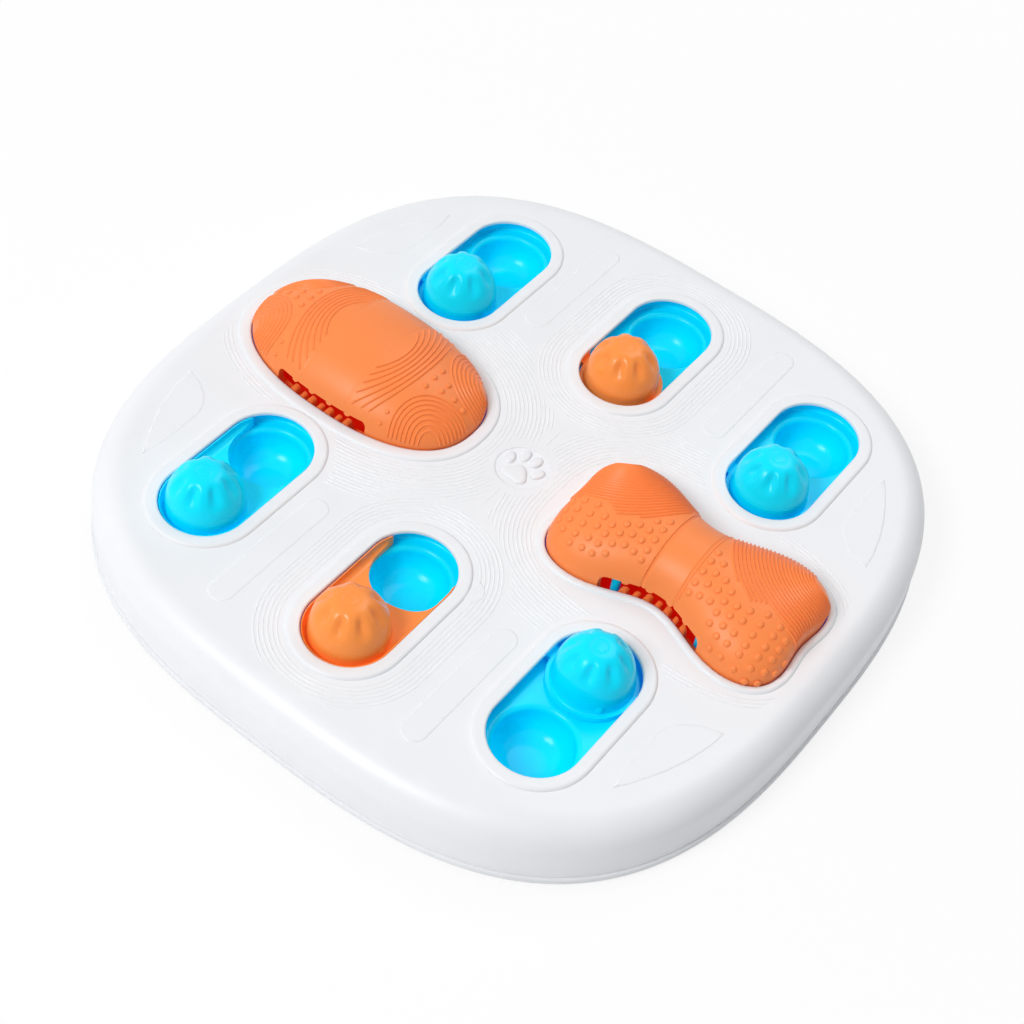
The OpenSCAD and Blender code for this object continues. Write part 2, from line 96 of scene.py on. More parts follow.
# %% [markdown]
# ## Floor and light
# A pale floor carries a soft shadow. Seen by the camera it is mostly its own white, and all white
# further out, so the ground fades into the air as it does in a studio. A lamp in front on the left
# and one behind shade the moulded edges. The air fills in from all sides, least from the right, which
# leaves that wall of the board the darkest.

# %% Floor
def link(name, data):
    piece = bpy.data.objects.new(name, data)
    bpy.context.scene.collection.objects.link(piece)
    return piece


def shader(name):
    """A new material with its node tree cleared down to the output."""
    made = bpy.data.materials.new(name)
    made.use_nodes = True
    made.node_tree.nodes.clear()
    out = made.node_tree.nodes.new("ShaderNodeOutputMaterial")
    return made, made.node_tree.nodes, made.node_tree.links, out


def seen_rays(tree, wires):
    """1 on a ray from the camera, a mirror or a clear piece, and 0 on the light that falls on the board."""
    ray = tree.new("ShaderNodeLightPath")
    found = ray.outputs["Is Camera Ray"]
    for kind in ("Is Glossy Ray", "Is Transmission Ray"):
        either = tree.new("ShaderNodeMath")
        either.operation = "MAXIMUM"
        wires.new(found, either.inputs[0])
        wires.new(ray.outputs[kind], either.inputs[1])
        found = either.outputs[0]
    return found


floor_mat, tree, wires, out = shader("studio_floor")
paper = tree.new("ShaderNodeBsdfDiffuse")
paper.inputs["Color"].default_value = (0.95, 0.95, 0.96, 1)
glow = tree.new("ShaderNodeEmission")
glow.inputs["Color"].default_value = (1, 1, 1, 1)
middle = tree.new("ShaderNodeTexCoord")
reach = tree.new("ShaderNodeVectorMath")
reach.operation = "LENGTH"
wires.new(middle.outputs["Object"], reach.inputs[0])
FADE = {"From Min": 0.25, "From Max": 1.0, "To Min": 0.82, "To Max": 1.0}  # metres out, and share of white
fade = tree.new("ShaderNodeMapRange")
for socket, value in FADE.items():
    fade.inputs[socket].default_value = value
wires.new(reach.outputs["Value"], fade.inputs["Value"])
share = tree.new("ShaderNodeMath")
share.operation = "MULTIPLY"
wires.new(seen_rays(tree, wires), share.inputs[0])
wires.new(fade.outputs["Result"], share.inputs[1])
mixed = tree.new("ShaderNodeMixShader")
wires.new(share.outputs[0], mixed.inputs[0])
wires.new(paper.outputs[0], mixed.inputs[1])
wires.new(glow.outputs[0], mixed.inputs[2])
wires.new(mixed.outputs[0], out.inputs["Surface"])

FLOOR_HALF, FLOOR_Z = 6.0, -0.0002  # in metres; the floor lies a hair below the feet
sheet = [(x * FLOOR_HALF, y * FLOOR_HALF, 0) for x, y in ((-1, -1), (1, -1), (1, 1), (-1, 1))]
sheet_mesh = bpy.data.meshes.new("floor")
sheet_mesh.from_pydata(sheet, [], [(0, 1, 2, 3)])
floor = link("floor", sheet_mesh)
floor.location.z = FLOOR_Z
floor.data.materials.append(floor_mat)
floor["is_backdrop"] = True
print("floor at", floor.location.z)

# %% Light
def lamp(name, where, size, watts):
    """A round lamp that looks at the middle of the board."""
    data = bpy.data.lights.new(name, "AREA")
    data.shape, data.size, data.energy = "DISK", size, watts
    made = link(name, data)
    made.location = where
    made.rotation_mode = "QUATERNION"
    made.rotation_quaternion = (-Vector(where)).to_track_quat("-Z", "Y")


lamp("key", (-0.6, -1.85, 2.1), 1.1, 44.0)
lamp("top", (0.1, 1.4, 2.2), 1.6, 18.0)

# %% Air
LEFT_AIR, RIGHT_AIR = 0.62, 0.18  # strength of the light from the left and from the right
world = bpy.data.worlds.new("studio")
bpy.context.scene.world = world
world.use_nodes = True
tree, wires = world.node_tree.nodes, world.node_tree.links
air = tree["Background"]
air.inputs["Color"].default_value = (1, 1, 1, 1)
way = tree.new("ShaderNodeTexCoord")
way_xyz = tree.new("ShaderNodeSeparateXYZ")
wires.new(way.outputs["Generated"], way_xyz.inputs[0])
side = tree.new("ShaderNodeMapRange")
side.inputs["From Min"].default_value = -1.0
side.inputs["To Min"].default_value = LEFT_AIR
side.inputs["To Max"].default_value = RIGHT_AIR
wires.new(way_xyz.outputs["X"], side.inputs["Value"])
level = tree.new("ShaderNodeMix")
level.inputs["B"].default_value = 1.0
wires.new(seen_rays(tree, wires), level.inputs["Factor"])
wires.new(side.outputs["Result"], level.inputs["A"])
wires.new(level.outputs["Result"], air.inputs["Strength"])
print("air from left and right:", LEFT_AIR, RIGHT_AIR)

# %% [markdown]
# ## Finishes
# All but the screws is moulded, so each finish has a faint mottle in its gloss and a very fine grain.
# The white cover is satin, the blue and orange hard parts are glossy, and the toys are soft rubber
# with a satin bloom. Some of the light that enters a bright plastic wanders about in it and comes out
# of its shaded sides too. A weak painted glow of the same colour stands in for that and lifts the shade.

# %% Finishes
def moulded(name, colour, rough, grain, gloss=0.5, painted_glow=(0, 0, 0), mottle=0.04, drift=0.03, metal=0.0):
    """Mottled gloss, a fine grain, a slight drift of the colour, and a painted glow that lifts the shaded sides.
    """
    made, tree, wires, out = shader(name)
    body = tree.new("ShaderNodeBsdfPrincipled")
    body.inputs["Metallic"].default_value = metal
    body.inputs["Specular IOR Level"].default_value = gloss
    # painted glow: the part gives off a little light of its own colour, which lifts its shaded sides
    body.inputs["Emission Color"].default_value = (*painted_glow, 1)
    body.inputs["Emission Strength"].default_value = 1.0
    spot = tree.new("ShaderNodeTexCoord")
    cloud = tree.new("ShaderNodeTexNoise")
    cloud.inputs["Scale"].default_value = 45.0
    cloud.inputs["Detail"].default_value = 3.0
    wires.new(spot.outputs["Object"], cloud.inputs["Vector"])
    tint = tree.new("ShaderNodeMix")
    tint.data_type = "RGBA"
    tint.inputs["A"].default_value = (*[c * (1 - drift) for c in colour], 1)
    tint.inputs["B"].default_value = (*[min(1, c * (1 + drift)) for c in colour], 1)
    wires.new(cloud.outputs["Fac"], tint.inputs["Factor"])
    wires.new(tint.outputs["Result"], body.inputs["Base Color"])
    matt = tree.new("ShaderNodeMapRange")
    matt.inputs["To Min"].default_value = rough - mottle
    matt.inputs["To Max"].default_value = rough + mottle
    wires.new(cloud.outputs["Fac"], matt.inputs["Value"])
    wires.new(matt.outputs["Result"], body.inputs["Roughness"])
    sand = tree.new("ShaderNodeTexNoise")
    sand.inputs["Scale"].default_value = 2600.0
    sand.inputs["Detail"].default_value = 2.0
    wires.new(spot.outputs["Object"], sand.inputs["Vector"])
    bump = tree.new("ShaderNodeBump")
    bump.inputs["Strength"].default_value = grain
    bump.inputs["Distance"].default_value = 0.0001
    wires.new(sand.outputs["Fac"], bump.inputs["Height"])
    wires.new(bump.outputs["Normal"], body.inputs["Normal"])
    wires.new(body.outputs[0], out.inputs["Surface"])
    return made


FINISH = {
    "white": moulded("white_plastic", (0.83, 0.845, 0.87), 0.40, 0.10, 0.45),
    "base_white": moulded("white_base_plastic", (0.80, 0.815, 0.84), 0.45, 0.12, 0.45),
    # the colour given after the gloss is a painted glow that lifts the shade of each bright plastic
    "tray_blue": moulded("blue_tray_plastic", (0.0, 0.80, 0.95), 0.17, 0.03, 0.13, (0.0, 0.005, 0.10)),
    "piece_blue": moulded("blue_knob_plastic", (0.0, 0.80, 0.95), 0.24, 0.05, 0.17, (0.0, 0.005, 0.10)),
    "piece_orange": moulded("orange_knob_plastic", (0.93, 0.30, 0.06), 0.26, 0.05, 0.3, (0.07, 0.005, 0.0)),
    "toy_rubber": moulded("orange_rubber", (0.91, 0.255, 0.065), 0.42, 0.25, 0.35, (0.05, 0.003, 0.0), 0.06, 0.05),
    # painted shade: the rubber made darker and redder for the hollow seen through the slit, with a stronger
    # painted glow
    "toy_painted_shade": moulded("orange_rubber_painted_shade", (0.70, 0.035, 0.01), 0.55, 0.25, 0.2, (0.15, 0.0015, 0.0)),
    "foot_rubber": moulded("grey_rubber", (0.10, 0.11, 0.12), 0.7, 0.5, 0.3),
    "steel": moulded("screw_steel", (0.42, 0.43, 0.45), 0.3, 0.15, metal=1.0),
}
node_slot = {s["node"]: s["material_slot"] for s in frame["record"]["subparts"]}
for name, part in nodes.items():
    part.data.materials.clear()
    part.data.materials.append(FINISH[node_slot[name]])
print("finishes:", sorted(FINISH))

# %% [markdown]
# ## Tools for skins
# A piece is gathered as points in millimetres and faces, then turned into one mesh. Most shapes here
# are lofts: the same closed outline drawn several times, larger or smaller and higher or lower, and
# joined by bands of faces. Going up and then inwards makes the faces look outwards.

# %% Skins
class Skin:
    """Points in millimetres and faces of one piece."""

    def __init__(self):
        self.points, self.faces = [], []

    def ring(self, points):
        start = len(self.points)
        self.points.extend((float(x), float(y), float(z)) for x, y, z in points)
        return list(range(start, start + len(points)))

    def band(self, low, high, closed=True):
        for i in range(len(low) if closed else len(low) - 1):
            j = (i + 1) % len(low)
            self.faces.append((low[i], low[j], high[j], high[i]))

    def loft(self, rings):
        made = [self.ring(r) for r in rings]
        for low, high in zip(made, made[1:]):
            self.band(low, high)
        return made

    def fill(self, loops, z, up=True):
        """A flat face at height z inside the first loop and outside the others."""
        flat = [[Vector((x, y, 0)) for x, y in loop] for loop in loops]
        ids = self.ring([(x, y, z) for loop in loops for x, y in loop])
        for a, b, c in tessellate_polygon(flat):
            (ax, ay, _), (bx, by, _), (cx, cy, _) = (self.points[ids[k]] for k in (a, b, c))
            turns_left = (bx - ax) * (cy - ay) - (by - ay) * (cx - ax) > 0
            self.faces.append(tuple(ids[k] for k in ((a, b, c) if turns_left == up else (a, c, b))))

    def mesh(self, name, sharp=38):
        made = bpy.data.meshes.new(name)
        made.from_pydata([(x * MM, y * MM, z * MM) for x, y, z in self.points], [], self.faces)
        work = bmesh.new()
        work.from_mesh(made)
        bmesh.ops.remove_doubles(work, verts=work.verts, dist=1e-6)
        bmesh.ops.dissolve_degenerate(work, edges=work.edges, dist=1e-7)
        work.to_mesh(made)
        work.free()
        made.polygons.foreach_set("use_smooth", [True] * len(made.polygons))
        made.set_sharp_from_angle(angle=math.radians(sharp))
        return made


print("skin tools:", [n for n in vars(Skin) if not n.startswith("_")])

# %% [markdown]
# ## Outlines
# Four outlines shape the board. The outside is a rounded square that bulges slightly: a superellipse.
# Slots are straight with round ends. The oval and the bone have their own curves. Each outline can be
# drawn a distance further out, which gives the rims and the ridges that follow them.

# %% Places on the board
SLOT_R, HALF_RUN = 18.0, 17.4
SLOTS = {
    "back_left": (-78.8, 77.6, -1), "back_middle": (0.0, 86.2, -1), "back_right": (78.8, 77.6, -1),
    "front_left": (-78.8, -77.6, -1), "front_middle": (0.0, -86.2, -1), "front_right": (78.8, -77.6, 1),
}
TOY_X = {"oval": -78.8, "bone": 78.8}
TOY_SHAPE = {"oval": (53.7, 31.3, 2.4), "bone": (53.0, 32.5, 4.5)}  # half-length, half-width, squareness
COVER_S, BOARD_POWER = 149.0, 2.9  # half-width and squareness of the cover
DECK_Z, RIM_Z, LIP_Z = 30.0, 31.0, 29.6
CORNERS = [(sx, sy) for sx in (-1, 1) for sy in (-1, 1)]
print("slots:", list(SLOTS), "toys:", list(TOY_X))


# %% Outline tools
def turns(count):
    """Angles once round."""
    return np.linspace(0, 2 * np.pi, count, endpoint=False)


def rounded(a, power):
    """Points at the angles a on a rounded square of half-size 1. A higher power is squarer."""
    c, s = np.cos(a), np.sin(a)
    return np.stack([c, s], 1) / ((np.abs(c) ** power + np.abs(s) ** power) ** (1 / power))[:, None]


def board(s, count=288):
    return s * rounded(turns(count), BOARD_POWER)


def board_size(p):
    """Half-width of the board's outline that runs through each point."""
    return (np.abs(p) ** BOARD_POWER).sum(1) ** (1 / BOARD_POWER)


def circle(x, y, r, count=48):
    return np.array([x, y]) + r * rounded(turns(count), 2.0)


def stadium(x, y, r, half_run=HALF_RUN, count=28):
    """Round-ended slot along Y."""
    a = np.linspace(0, np.pi, count)
    top = np.stack([x + r * np.cos(a), y + half_run + r * np.sin(a)], 1)
    low = np.stack([x - r * np.cos(a), y - half_run - r * np.sin(a)], 1)
    return np.concatenate([top, low])


def evenly(loop, count):
    """A closed loop drawn again with evenly spaced points."""
    closed = np.vstack([loop, loop[:1]])
    run = np.concatenate([[0], np.cumsum(np.linalg.norm(np.diff(closed, axis=0), axis=1))])
    t = np.linspace(0, run[-1], count, endpoint=False)
    return np.stack([np.interp(t, run, closed[:, k]) for k in (0, 1)], 1)


def outward(loop, d):
    """A closed loop moved out by d along its own normals."""
    way = np.roll(loop, -1, 0) - np.roll(loop, 1, 0)
    way /= np.linalg.norm(way, axis=1)[:, None]
    return loop + d * np.stack([way[:, 1], -way[:, 0]], 1)


def at(loop, z):
    return [(x, y, z) for x, y in loop]


print("board outline in mm:", np.ptp(board(COVER_S), axis=0).round(1).tolist())


# %% Oval and bone
WAIST, WAIST_RUN = 12.0, 23.0  # depth and reach of the bone's waist
DENT, DENT_RUN = 1.7, 10.0  # depth and reach of the dent in each of its ends


def bone_waist(u):
    """How far the bone's sides are drawn in at u, which runs from -1 to 1 along it."""
    return WAIST * np.exp(-((u * TOY_SHAPE["bone"][0] / WAIST_RUN) ** 2))


def bone_dent(u, y):
    """How far the bone's two ends are drawn in at u along it and y off its middle line."""
    return np.sign(u) * DENT * np.abs(u) ** 8 * np.exp(-((y / DENT_RUN) ** 2))


def toy_plan(kind, count=240):
    """Outline of a toy's opening, about the toy's own centre."""
    length, width, power = TOY_SHAPE[kind]
    u, v = rounded(turns(6000), power).T
    if kind == "oval":
        return evenly(np.stack([length * u, width * v], 1), count)
    y = v * (width - bone_waist(u))
    return evenly(np.stack([length * u - bone_dent(u, y), y], 1), count)


OPENINGS = {n: stadium(x, y, SLOT_R) for n, (x, y, _) in SLOTS.items()}
OPENINGS.update({k: toy_plan(k) + [x, 0] for k, x in TOY_X.items()})
print("openings:", {n: np.ptp(o, axis=0).round(1).tolist() for n, o in OPENINGS.items()})

# %% [markdown]
# ## White cover
# The cover is one moulding: a wall, a rounded shoulder, a flat deck and a raised, softly rounded rim
# round every opening. The wall and shoulder are a loft of the board's outline. The deck is one flat
# face with holes. The rims are lofts of each opening, laid over the edges of those holes.

# %% Cover wall and deck
SHOULDER_R, DECK_S, PAW_R = 11.0, COVER_S - 12.5, 10.8
cover = Skin()
arc = [math.radians(90 * i / 12) for i in range(13)]
wall = [(COVER_S - 2.2, 4.0), (COVER_S - 0.3, 4.0), (COVER_S, 4.3)]
wall += [(COVER_S - SHOULDER_R * (1 - math.cos(a)), DECK_Z - SHOULDER_R * (1 - math.sin(a))) for a in arc]
wall += [(DECK_S, DECK_Z)]
cover.loft([at(board(s), z) for s, z in wall])
holes = [outward(o, 2.7) for o in OPENINGS.values()] + [circle(0, 0, PAW_R + 0.6, 64)]
cover.fill([board(DECK_S)] + holes, DECK_Z)
print("holes in the deck:", len(holes))

# %% Rims
RIM_W, BONE_RIM_W = 5.4, 3.2
rim_lip = [(1.1, RIM_Z), (0.6, 30.93), (0.2, 30.72), (0.0, 30.3), (0.0, LIP_Z), (2.4, LIP_Z)]
for name, outline in OPENINGS.items():
    w = BONE_RIM_W if name == "bone" else RIM_W
    rim_foot = [(w + 0.8, 29.96), (w + 0.1, 30.0), (w - 0.05, 30.25), (w - 0.3, 30.6), (w - 0.75, 30.87),
                (w - 1.3, 30.98), (w - 1.8, RIM_Z)]
    cover.loft([at(outward(outline, d), z) for d, z in rim_foot + rim_lip])
print("rims:", len(OPENINGS))

# %% [markdown]
# Bars, leaves and a small half-moon stand a hair above the deck. Each is a pad: its outline lofted up
# with a soft edge and closed with a flat face.

# %% Pads on the deck
def pad(skin, outline, height=0.28, edge=0.9):
    steps = [(0.0, -0.03), (0.15 * edge, 0.3 * height), (0.45 * edge, 0.75 * height),
             (0.8 * edge, 0.96 * height), (edge, height)]
    rings = [outward(outline, -d) for d, _ in steps]
    skin.loft([at(r, DECK_Z + z) for r, (_, z) in zip(rings, steps)])
    skin.fill([rings[-1]], DECK_Z + height)


BAR_X, BAR_Y, BAR_R, BAR_RUN = 45.4, 96.2, 5.3, 25.7
for sx, sy in CORNERS:
    pad(cover, stadium(sx * BAR_X, sy * BAR_Y, BAR_R, BAR_RUN))

leaf_marks = [(112.0, 94.9), (110.6, 85.0), (110.5, 76.5), (110.9, 65.3), (112.6, 60.0), (115.9, 56.2),
              (121.5, 52.5), (129.4, 49.9), (128.6, 57.5), (126.0, 67.5), (123.0, 75.5),
              (119.2, 83.2), (115.5, 89.8)]
for sx, sy in CORNERS:
    leaf = evenly(np.array(leaf_marks) * [sx, sy], 90)
    pad(cover, leaf if sx * sy > 0 else leaf[::-1], 0.24, 0.8)  # a mirrored leaf is turned to run left again

half_moon = np.array([(22.0 + 6.0 * math.cos(a), -61.0 + 5.4 * math.sin(a))
                      for a in np.linspace(-math.pi / 2, math.pi / 2, 24)])
pad(cover, half_moon, 0.24, 0.6)
print("pads: 4 bars, 4 leaves, 1 half-moon")

# %% [markdown]
# In the middle is a shallow round seat with a plain paw print, four toes over one pad, as on many pet
# things. The toes and the pad are low domes: an outline shrunk in steps while it rises.

# %% Paw seat
SEAT_Z = 29.3
seat = [(PAW_R + 0.8, DECK_Z - 0.02), (PAW_R + 0.3, DECK_Z - 0.05), (PAW_R - 0.1, 29.8), (PAW_R - 0.3, 29.45),
        (PAW_R - 0.8, SEAT_Z)]
cover.loft([at(circle(0, 0, r, 64), z) for r, z in seat])
cover.fill([circle(0, 0, PAW_R - 0.8, 64)], SEAT_Z)
print("paw seat sunk by", round(DECK_Z - SEAT_Z, 2), "mm")


# %% Paw print
def dome(skin, outline, height, steps=7):
    """A low cushion with steep sides on the seat."""
    middle, base = outline.mean(0), SEAT_Z - 0.02
    angles = [math.pi / 2 * i / steps for i in range(steps)]
    rings = [at(middle + (outline - middle) * math.cos(a) ** 0.55, base + height * math.sin(a)) for a in angles]
    made = skin.loft(rings)
    top = skin.ring([(*middle, base + height)])[0]
    for i in range(len(outline)):
        skin.faces.append((made[-1][i], made[-1][(i + 1) % len(outline)], top))


def egg(x, y, rx, ry, tilt, count=36):
    c, s = math.cos(math.radians(tilt)), math.sin(math.radians(tilt))
    px, py = (rounded(turns(count), 2.0) * [rx, ry]).T
    return np.stack([x + c * px - s * py, y + s * px + c * py], 1)


for x, y, tilt in ((-6.8, 1.5, 25), (-2.65, 6.1, 8), (2.65, 6.1, -8), (6.8, 1.5, -25)):
    dome(cover, egg(x, y, 2.2, 3.3, tilt), 1.25)
a = turns(72)
lobes = np.cos(3 * a + math.pi / 2)
heel = np.stack([(5.3 + 0.6 * lobes) * np.cos(a), -3.9 + (4.4 + 0.75 * lobes) * np.sin(a)], 1)
dome(cover, heel, 1.3)
print("cover points:", len(cover.points))

# %% [markdown]
# A finished mesh becomes a piece. It gets its finish, rides on its body, and hides the CAD nodes that
# it stands for. Weighted normals keep flat faces looking flat beside their rounded edges.

# %% Dress the cover
def dress(name, mesh, slot, body, stands_for=(), spot=(0, 0), spin=0):
    """Makes a piece of a mesh, with its finish, on its body, in place of the CAD nodes that it shows."""
    piece = link(name, mesh)
    piece.location = (spot[0] * MM, spot[1] * MM, 0)
    piece.rotation_euler.z = math.radians(spin)
    if not mesh.materials:
        mesh.materials.append(FINISH[slot])
    even = piece.modifiers.new("even_shading", "WEIGHTED_NORMAL")
    even.keep_sharp = True
    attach(piece, body)
    if stands_for:
        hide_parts(*stands_for)
    print(name, "faces:", len(mesh.polygons))
    return piece


dress("cover", cover.mesh("cover"), "white", "board", ["top_cover"])

# %% [markdown]
# ## Fine ridges on the deck
# Thin raised lines decorate the deck. Some run round the two middle slots. Others follow the outline
# of the oval and of the bone, further and further out, and stop short of rims and bars. Each line is a
# narrow strip with a rounded back. A test of each point decides where a line may run.

# %% Ridge strip
STRIP = ((-0.5, -0.15), (-0.3, 0.62), (0.0, 1.0), (0.3, 0.62), (0.5, -0.15))  # shares of width and height


def strip(skin, path, up, closed, width=0.85, height=0.2):
    """A low round-backed strip along a path on a surface; up holds the surface's normals there.
    An open strip runs out flat and narrow at both ends."""
    way = np.roll(path, -1, 0) - np.roll(path, 1, 0) if closed else np.gradient(path, axis=0)
    way /= np.maximum(np.linalg.norm(way, axis=1), 1e-9)[:, None]
    left = np.cross(up, way)
    fade = np.ones(len(path))
    if not closed:
        fade[[0, -1]], fade[[1, -2]] = 0.0, 0.75
    ids = []
    for o, h in STRIP:
        aside = o * width * (0.35 + 0.65 * fade)
        rise = h * height * (fade if h > 0 else 1.0)
        ids.append(skin.ring(path + left * aside[:, None] + up * (rise * np.ones(len(path)))[:, None]))
    for low, high in zip(ids, ids[1:] + ids[:1]):
        skin.band(low, high, closed)
    if not closed:
        skin.faces.append(tuple(r[0] for r in ids))
        skin.faces.append(tuple(r[-1] for r in reversed(ids)))


def deck_strip(skin, path, closed):
    path = np.asarray(path)
    up = np.tile([0.0, 0.0, 1.0], (len(path), 1))
    strip(skin, np.column_stack([path, np.full(len(path), DECK_Z)]), up, closed)


print("points across a strip:", len(STRIP))

# %% Where ridges may run
SLOT_CLEAR, BAR_CLEAR, PAW_CLEAR = 7.2, 7.0, 2.2  # from a slot's edge, a bar's middle line and the paw's seat


def slot_distance(p, name):
    x, y, _ = SLOTS[name]
    return np.hypot(p[:, 0] - x, np.maximum(np.abs(p[:, 1] - y) - HALF_RUN, 0)) - SLOT_R


def on_deck(p):
    """Whether points lie on the bare deck, clear of its edge, the paw, the slots and the bars."""
    clear = (board_size(p) < DECK_S - 1.0) & (np.hypot(p[:, 0], p[:, 1]) > PAW_R + PAW_CLEAR)
    for name in SLOTS:
        clear &= slot_distance(p, name) > SLOT_CLEAR
    for sx, sy in CORNERS:
        bar = np.hypot(p[:, 0] - sx * BAR_X, np.maximum(np.abs(p[:, 1] - sy * BAR_Y) - BAR_RUN, 0))
        clear &= bar > BAR_CLEAR
    return clear


def kept_runs(path, keep):
    """The stretches of a path that are kept, each as (points, closed)."""
    if keep.all():
        return [(path, True)]
    if keep.any():
        start = int(np.argmin(keep))
        path, keep = np.roll(path, -start, 0), np.roll(keep, -start)
    edges = np.flatnonzero(np.diff(np.concatenate([[0], keep.astype(int), [0]])))
    return [(path[a:b], False) for a, b in edges.reshape(-1, 2) if b - a > 4]


print("the paw's place is bare deck:", bool(on_deck(np.zeros((1, 2)))[0]))

# %% Ridges round the middle slots
RIDGE_STEP, FIRST_R, RINGS = 1.7, 26.2, 6
MIDDLE_SLOTS = ("back_middle", "front_middle")
ridges = Skin()
lines = 0
for name in MIDDLE_SLOTS:
    x, y, _ = SLOTS[name]
    for k in range(RINGS):
        ring = evenly(stadium(x, y, FIRST_R + RIDGE_STEP * k), 170)
        for path, closed in kept_runs(ring, board_size(ring) < DECK_S - 0.3):
            deck_strip(ridges, path, closed)
            lines += 1
print("ridges round the middle slots:", lines)

# %% Ridges that follow the toys
FIRST_OUT, RINGS_CLEAR, RIDGE_END = 8.0, 18.5, 59.0  # first line, room for the slots' rings, furthest y


def oval_round(length, width, power, count=300):
    return evenly(rounded(turns(6000), power) * [length, width], count)


for kind, outline in (("oval", oval_round(*TOY_SHAPE["oval"])), ("bone", oval_round(53.0, 32.0, 3.4))):
    outer = math.copysign(1, TOY_X[kind])
    for k in range(13):
        ring = outward(outline, FIRST_OUT + RIDGE_STEP * k) + [TOY_X[kind], 0]
        keep = on_deck(ring) & (ring[:, 0] * outer > 3.0) & (np.abs(ring[:, 1]) < RIDGE_END)
        for name in MIDDLE_SLOTS:
            keep &= slot_distance(ring, name) > RINGS_CLEAR
        if k >= 3:  # the outer side of a toy has room for three lines only
            keep &= ring[:, 0] * outer <= abs(TOY_X[kind]) - 4
        for path, closed in kept_runs(ring, keep):
            deck_strip(ridges, path, closed)
            lines += 1
for sy in (-1, 1):
    deck_strip(ridges, [(0, sy * y) for y in np.linspace(14.5, 27, 14)], False)
dress("cover_ridges", ridges.mesh("cover_ridges", 60), "white", "board")
print("ridges in all:", lines + 2)

# %% [markdown]
# ## Trays
# Six equal blue trays hang under the slots. Each has a shallow channel for the sliding plate and two
# round cups. The loft runs up the outside, over the edge, down the channel's wall and then down into
# the cups, whose mouths and floors are rounded. One mesh serves all six.

# %% Trays
LEDGE_Z, TRAY_T, EDGE_Z = 24.0, 1.6, 29.4  # floor of the channel, wall, and upper edge under the cover
UNDER_Z = LEDGE_Z - TRAY_T
TRAY_R, CHANNEL_R, CUP_OUT_R = 22.2, 20.6, 16.6
CUP_R, CUP_Z, CUP_BEND, MOUTH_BEND = 15.0, 11.0, 9.0, 2.2  # radius, floor, and bends at its floor and mouth


def tray_mesh():
    skin, ends = Skin(), (-HALF_RUN, HALF_RUN)
    chain = [(20.9, UNDER_Z), (TRAY_R, UNDER_Z + 0.5), (TRAY_R, 29.2), (22.0, EDGE_Z), (20.8, EDGE_Z),
             (CHANNEL_R, 29.2), (CHANNEL_R, LEDGE_Z + 0.9), (20.3, LEDGE_Z + 0.25), (19.7, LEDGE_Z)]
    skin.loft([at(stadium(0, 0, r), z) for r, z in chain])
    low = [(2, CUP_Z - TRAY_T), (8, CUP_Z - TRAY_T), (12.5, 10.4), (15.6, 13.6), (CUP_OUT_R, 17.5),
           (CUP_OUT_R, UNDER_Z)]
    bend = np.linspace(0, math.pi / 2, 10)
    cup = [(CUP_R + MOUTH_BEND * (1 - math.sin(t)), LEDGE_Z - MOUTH_BEND * (1 - math.cos(t))) for t in bend]
    cup += [(CUP_R - CUP_BEND * (1 - math.cos(t)), CUP_Z + CUP_BEND * (1 - math.sin(t))) for t in bend]
    cup += [(3, CUP_Z), (0.6, CUP_Z)]
    for y in ends:
        skin.loft([at(circle(0, y, r, 64), z) for r, z in low])
        skin.loft([at(circle(0, y, r, 64), z) for r, z in cup])
        skin.fill([circle(0, y, 0.6, 64)], CUP_Z)
        skin.fill([circle(0, y, 2, 64)], CUP_Z - TRAY_T, up=False)
    skin.fill([stadium(0, 0, 19.7)] + [circle(0, y, CUP_R + MOUTH_BEND, 64) for y in ends], LEDGE_Z)
    skin.fill([stadium(0, 0, 20.9)] + [circle(0, y, CUP_OUT_R, 64) for y in ends], UNDER_Z, up=False)
    for x in (-26.2, 26.2):  # ears for the screws
        ear = [(4.0, 27.0), (4.0, 29.2), (3.7, EDGE_Z), (1.7, EDGE_Z), (1.7, 27.0)]
        skin.loft([at(circle(x, 0, r, 32), z) for r, z in ear])
        skin.fill([circle(x, 0, 4.0, 32), circle(x, 0, 1.7, 32)], 27.0, up=False)
    return skin.mesh("tray", 45)


shared_tray = tray_mesh()
for name, (x, y, _) in SLOTS.items():
    dress("tray_" + name + "_skin", shared_tray, "tray_blue", "board", ["tray_" + name], (x, y))

# %% [markdown]
# Two deep nests in the same blue hold the toys. They show as a thin line round each toy, and fully
# once a toy is lifted out.

# %% Nests
NEST_GAP, NEST_Z, NEST_BEND = 0.8, 13.0, 5.0  # room round the opening, floor and bend
for kind, x in TOY_X.items():
    nest = Skin()
    outline = toy_plan(kind)
    chain = [(0.4, NEST_Z - TRAY_T), (2.4, NEST_Z), (2.4, 29.2), (2.2, EDGE_Z), (1.0, EDGE_Z), (NEST_GAP, 29.2)]
    chain += [(NEST_GAP - NEST_BEND * (1 - math.cos(t)), NEST_Z + NEST_BEND * (1 - math.sin(t)))
              for t in np.linspace(0, math.pi / 2, 8)]
    nest.loft([at(outward(outline, d), z) for d, z in chain])
    nest.fill([outward(outline, NEST_GAP - NEST_BEND)], NEST_Z)
    nest.fill([outward(outline, 0.4)], NEST_Z - TRAY_T, up=False)
    dress(kind + "_nest_skin", nest.mesh(kind + "_nest", 45), "tray_blue", "board", [kind + "_nest"], (x, 0))

# %% [markdown]
# ## Knobs
# A knob is a smooth dome turned about its axis, with eight scoops high up its flank. A scoop is deepest
# just below the crown and fades out softly above and below. On top is a flat button with a scalloped
# edge. The foot flares out onto the plate, with a small round boss on one side. The dome is drawn as
# rings of points, and each ring is pushed in where a scoop passes.

